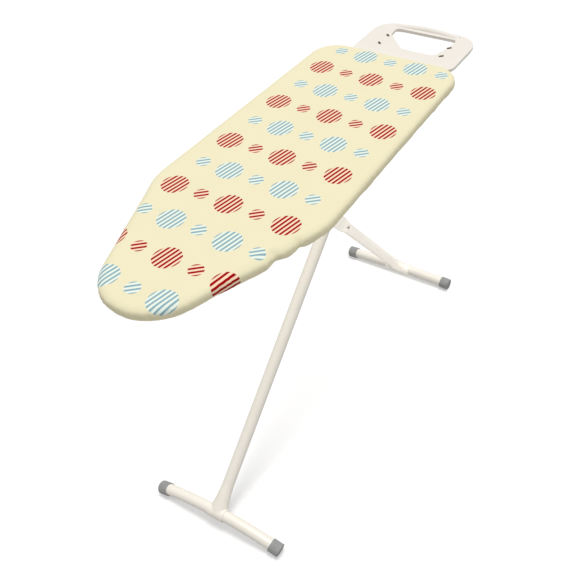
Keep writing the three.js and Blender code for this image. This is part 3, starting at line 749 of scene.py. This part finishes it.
felt = add_felt()
cover = add_cover()
hem = add_hem()
add_deck()
rim = add_rim()
settle_cover(cover, [felt, rim])


# ---------------------------------------------------------------- legs and feet
TUBE_RADIUS = 15.5 * MM


class Leg:
    """One leg's own lines, read from its joint and its foot bar."""

    def __init__(self, prefix, top):
        low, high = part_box(f"{prefix}_foot_bar")
        self.prefix = prefix
        self.top = top
        self.foot = Vector(((low.x + high.x) / 2, top.y, high.z - TUBE_RADIUS))
        self.axis = (self.foot - self.top).normalized()
        self.half_bar = (high.y - low.y) / 2 - 1 * MM
        self.bar_drop = high.z - low.z - 2 * TUBE_RADIUS

    def bar_path(self, half, steps):
        shares = [half / self.half_bar * (2 * k / steps - 1) for k in range(steps + 1)]
        return [self.foot + ALONG_Y * (share * self.half_bar) - UP * (self.bar_drop * share * share)
                for share in shares]


long_leg = Leg("long_leg", joints["leg_fold"])
short_leg = Leg("short_leg", joints["rail_slide_turn"])


def add_long_tube():
    start, end = span("long_leg_tube", long_leg.top, long_leg.axis)
    path = [long_leg.top + long_leg.axis * (start + (end - start) * share) for share in (0, 0.5, 1)]
    round_bar("long_tube", path, TUBE_RADIUS, ALONG_Y, "long_leg", "cream_paint", ["long_leg_tube"],
              sides=64)


def add_short_tube():
    """A tube pressed flat along its upper half, where it runs beside the long leg."""
    start, end = span("short_leg_tube", short_leg.top, short_leg.axis)
    blade_end, blend = 430 * MM, 45 * MM
    blade_half_width, blade_half_height = 6 * MM, 20.9 * MM
    tip_half_heights = {0: 10.0 * MM, 1: 14.5 * MM, 2: 19.3 * MM}
    tip_end = start + 10 * MM
    stations = [start, start + 2 * MM, start + 6 * MM, tip_end]
    stations += [tip_end + (blade_end - tip_end) * share for share in (0.25, 0.5, 0.75, 1)]
    stations += [blade_end + blend * k / 12 for k in range(1, 13)]
    stations.append(end)

    def section(k):
        share = smooth_step((stations[k] - blade_end) / blend)
        half_height = tip_half_heights.get(k, blade_half_height)
        half_height += (TUBE_RADIUS - half_height) * share
        half_width = blade_half_width + (TUBE_RADIUS - blade_half_width) * share
        return rounded_section(half_width, half_height, 0.45 + 0.55 * share, 64)

    path = [short_leg.top + short_leg.axis * t for t in stations]
    swept("short_tube", path, section, ALONG_Y, "short_leg", "cream_paint", ["short_leg_tube"])


def add_foot_bar(leg):
    path = leg.bar_path(leg.half_bar, 48)
    round_bar(f"{leg.prefix}_bar", path, TUBE_RADIUS, ALONG_X, leg.prefix, "cream_paint",
              [f"{leg.prefix}_foot_bar"], sides=48)


def add_saddle(leg):
    """Pressed sheet that flares out of the leg and wraps the foot bar, with a square lower edge."""
    low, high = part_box(f"{leg.prefix}_saddle")
    half = (high.y - low.y) / 2
    reach, drop = 78 * MM, 17 * MM
    rise = -leg.axis
    depth = rise.cross(ALONG_Y)
    stations, sides = 14, 40
    points = []
    for k in range(stations):
        height = reach - (reach + 4 * MM) * k / (stations - 1)
        flare = min(1.0, max(0.0, 1 - (height - 8 * MM) / (reach - 22 * MM)) ** 1.9)
        neck = TUBE_RADIUS + (0.25 + 1.75 * smooth_step((reach - height) / (34 * MM))) * MM
        wide, thick = neck + (half - neck) * flare, neck + 1.2 * MM * flare
        points += oval(leg.foot + rise * height, ALONG_Y * wide, depth * thick, sides)
    faces = ring_faces(stations, sides, False, True)
    flared = len(points)
    steps = 12
    path = leg.bar_path(half, steps)
    wrap_radius = TUBE_RADIUS + 3 * MM
    for k, centre in enumerate(path):
        along = (path[min(k + 1, steps)] - path[max(k - 1, 0)]).normalized()
        lift = ALONG_X.cross(along).normalized()
        points += oval(centre, ALONG_X * wrap_radius, lift * wrap_radius, sides)
    faces += [tuple(flared + i for i in face) for face in ring_faces(steps + 1, sides, False, True)]
    saddle = piece(f"{leg.prefix}_saddle_pressing", points, faces, leg.prefix, "cream_paint",
                   [f"{leg.prefix}_saddle"])
    modify(saddle, "REMESH", mode="VOXEL", voxel_size=1.0 * MM, use_smooth_shade=True)
    modify(saddle, "SMOOTH", factor=0.5, iterations=9)
    blended = bpy.data.meshes.new_from_object(saddle.evaluated_get(bpy.context.evaluated_depsgraph_get()))
    saddle.modifiers.clear()
    work = bmesh.new()
    work.from_mesh(blended)
    cut = bmesh.ops.bisect_plane(work, geom=work.verts[:] + work.edges[:] + work.faces[:],
                                 plane_co=leg.foot - rise * drop, plane_no=-rise, clear_outer=True)
    edge = [item for item in cut["geom_cut"] if isinstance(item, bmesh.types.BMEdge)]
    bmesh.ops.holes_fill(work, edges=edge, sides=0)
    work.to_mesh(saddle.data)
    work.free()
    saddle.data.shade_smooth()
    saddle.data.set_sharp_from_angle(angle=math.radians(50))


add_long_tube()
add_short_tube()
for leg in (long_leg, short_leg):
    add_saddle(leg)
for leg in (long_leg, short_leg):
    add_foot_bar(leg)


# ---------------------------------------------------------------- the iron rest's arms
def add_arm(side):
    low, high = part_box(f"rest_arm_{side}")
    centre = (low + high) / 2
    radius = (high.z - low.z) / 2
    path = [Vector((x, centre.y, centre.z)) for x in (low.x, centre.x, high.x)]
    round_bar(f"rest_rod_{side}", path, radius, UP, "board", "cream_paint", [f"rest_arm_{side}"])


add_arm("left")
add_arm("right")


# ---------------------------------------------------------------- finish on the CAD's own nodes
def softened(name):
    """(voxel in mm, smoothing rounds) for a moulded node, or None for a node with plain bevels."""
    if name == "iron_rest":
        return 1.5, 8
    return (1.1, 5) if "_leg_cap_" in name else None


def finish_cad_nodes():
    """Give every CAD node that still shows its finish, and soften its edges."""
    for part in frame["record"]["subparts"]:
        node = nodes[part["node"]]
        node.data.materials.clear()
        node.data.materials.append(FINISHES[part["material_slot"]])
        moulded = softened(part["node"])
        if moulded:
            voxel, rounds = moulded
            modify(node, "REMESH", mode="VOXEL", voxel_size=voxel * MM, use_smooth_shade=True)
            modify(node, "SMOOTH", factor=0.5, iterations=rounds)
        else:
            modify(node, "BEVEL", width=0.6 * MM, segments=3, limit_method="ANGLE",
                   angle_limit=math.radians(35), harden_normals=False)


finish_cad_nodes()

# ---------------------------------------------------------------- cloth thickness, floor and lights
modify(cover, "SOLIDIFY", thickness=0.8 * MM, offset=-1)


def add_floor():
    """White paper that glows a little, and lights nothing but itself."""
    graph = Graph("floor_paper")
    tones = [(grey, grey, grey, 1) for grey in (0.60, 0.62)]
    graph.put(graph.shader.inputs["Base Color"], graph.mix(graph.noise(3), *tones))
    graph.set(roughness=0.9)
    graph.put(graph.shader.inputs["Emission Color"], (1, 1, 1, 1))
    graph.put(graph.shader.inputs["Emission Strength"], 0.42)
    mesh = bpy.data.meshes.new("floor")
    half = 12.0
    corners = [(-half, -half, 0), (half, -half, 0), (half, half, 0), (-half, half, 0)]
    mesh.from_pydata(corners, [], [(0, 1, 2, 3)])
    mesh.materials.append(graph.material)
    floor = bpy.data.objects.new("floor", mesh)
    scene.collection.objects.link(floor)
    floor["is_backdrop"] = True
    only_floor = bpy.data.collections.new("only_floor")
    only_floor.objects.link(floor)
    floor.light_linking.receiver_collection = only_floor


def link_lights():
    """The feet and the long leg alone shade the overhead light, and a side light falls on the short leg."""
    standing = bpy.data.collections.new("standing_parts")
    sloping = bpy.data.collections.new("sloping_parts")
    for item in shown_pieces():
        if item.name in ("short_tube", "short_leg_saddle_pressing"):
            sloping.objects.link(item)
        elif body_of(item) in (["long_leg"], ["short_leg"]):
            standing.objects.link(item)
    overhead.light_linking.blocker_collection = standing
    side_fill = add_sun("side_fill", (0.5, 0.85, -0.1), 2.0, 50)
    side_fill.light_linking.receiver_collection = sloping


add_floor()
link_lights()
